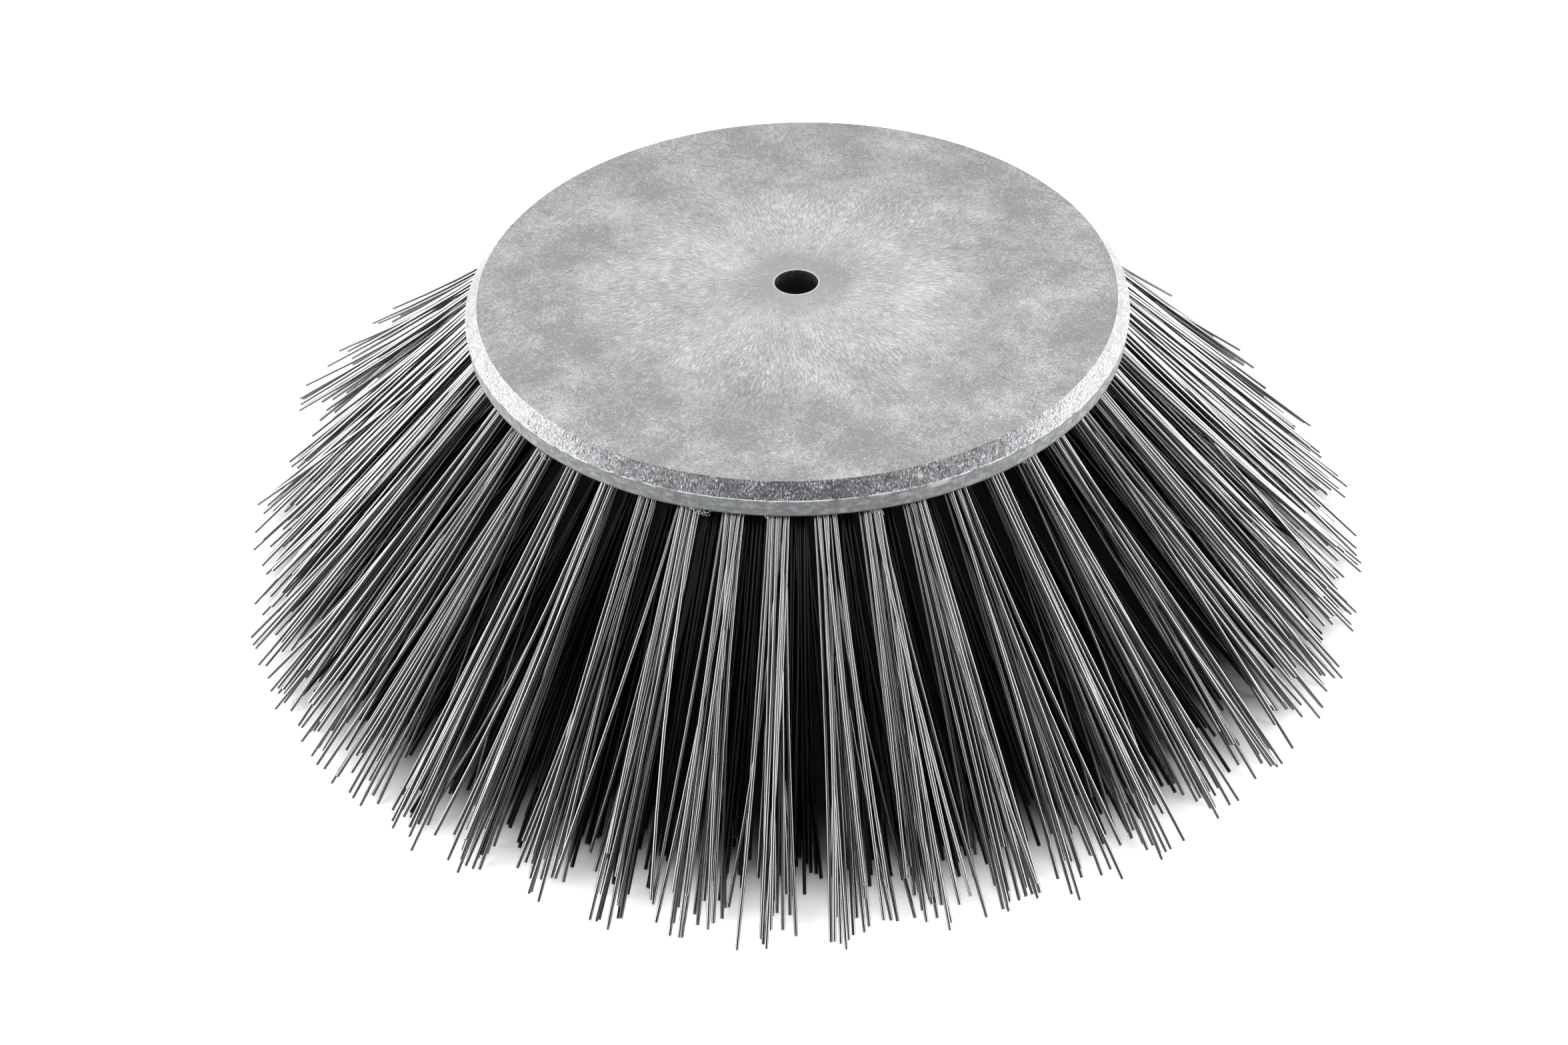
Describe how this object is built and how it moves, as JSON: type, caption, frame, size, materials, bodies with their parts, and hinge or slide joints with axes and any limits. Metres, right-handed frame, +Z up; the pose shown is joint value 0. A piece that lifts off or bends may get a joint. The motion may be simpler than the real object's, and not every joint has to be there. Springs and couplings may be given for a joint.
{
  "type": "road sweeper side brush",
  "caption": "Round side brush for a road sweeper: a thick moulded plastic disc with a centre bore and rows of stiff black bristle tufts that flare outwards to the floor.",
  "frame": {"origin": "on the spindle axis at the level of the bristle tips, which is the floor", "axes": "+Z up along the spindle axis, towards the sweeper; -Y is the front; +X is to the right seen from the front"},
  "size_m": [0.5406, 0.5406, 0.1428],
  "materials": {
    "plate": "moulded mid-grey recycled polypropylene, mottled with flow marks, satin, with a turned bevel",
    "bristle": "extruded black polypropylene monofilament, semi-gloss",
    "anchors": "drawn and flattened galvanised steel wire"
  },
  "bodies": {
    "root": {"plate": "plate", "anchors": "anchors", "outer_tuft_01": "bristle", "outer_tuft_02": "bristle", "outer_tuft_03": "bristle", "outer_tuft_04": "bristle", "outer_tuft_05": "bristle", "outer_tuft_06": "bristle", "outer_tuft_07": "bristle", "outer_tuft_08": "bristle", "outer_tuft_09": "bristle", "outer_tuft_10": "bristle", "outer_tuft_11": "bristle", "outer_tuft_12": "bristle", "outer_tuft_13": "bristle", "outer_tuft_14": "bristle", "outer_tuft_15": "bristle", "outer_tuft_16": "bristle", "outer_tuft_17": "bristle", "outer_tuft_18": "bristle", "outer_tuft_19": "bristle", "outer_tuft_20": "bristle", "outer_tuft_21": "bristle", "outer_tuft_22": "bristle", "outer_tuft_23": "bristle", "outer_tuft_24": "bristle", "outer_tuft_25": "bristle", "outer_tuft_26": "bristle", "outer_tuft_27": "bristle", "outer_tuft_28": "bristle", "outer_tuft_29": "bristle", "outer_tuft_30": "bristle", "outer_tuft_31": "bristle", "outer_tuft_32": "bristle", "outer_tuft_33": "bristle", "outer_tuft_34": "bristle", "outer_tuft_35": "bristle", "outer_tuft_36": "bristle", "outer_tuft_37": "bristle", "outer_tuft_38": "bristle", "outer_tuft_39": "bristle", "outer_tuft_40": "bristle", "outer_tuft_41": "bristle", "outer_tuft_42": "bristle", "outer_tuft_43": "bristle", "outer_tuft_44": "bristle", "outer_tuft_45": "bristle", "outer_tuft_46": "bristle", "outer_tuft_47": "bristle", "outer_tuft_48": "bristle", "inner_tufts_1": "bristle", "inner_tufts_2": "bristle", "inner_tufts_3": "bristle", "inner_tufts_4": "bristle", "inner_tufts_5": "bristle", "inner_tufts_6": "bristle", "inner_tufts_7": "bristle", "inner_tufts_8": "bristle", "inner_tufts_9": "bristle"}
  },
  "joints": []
}
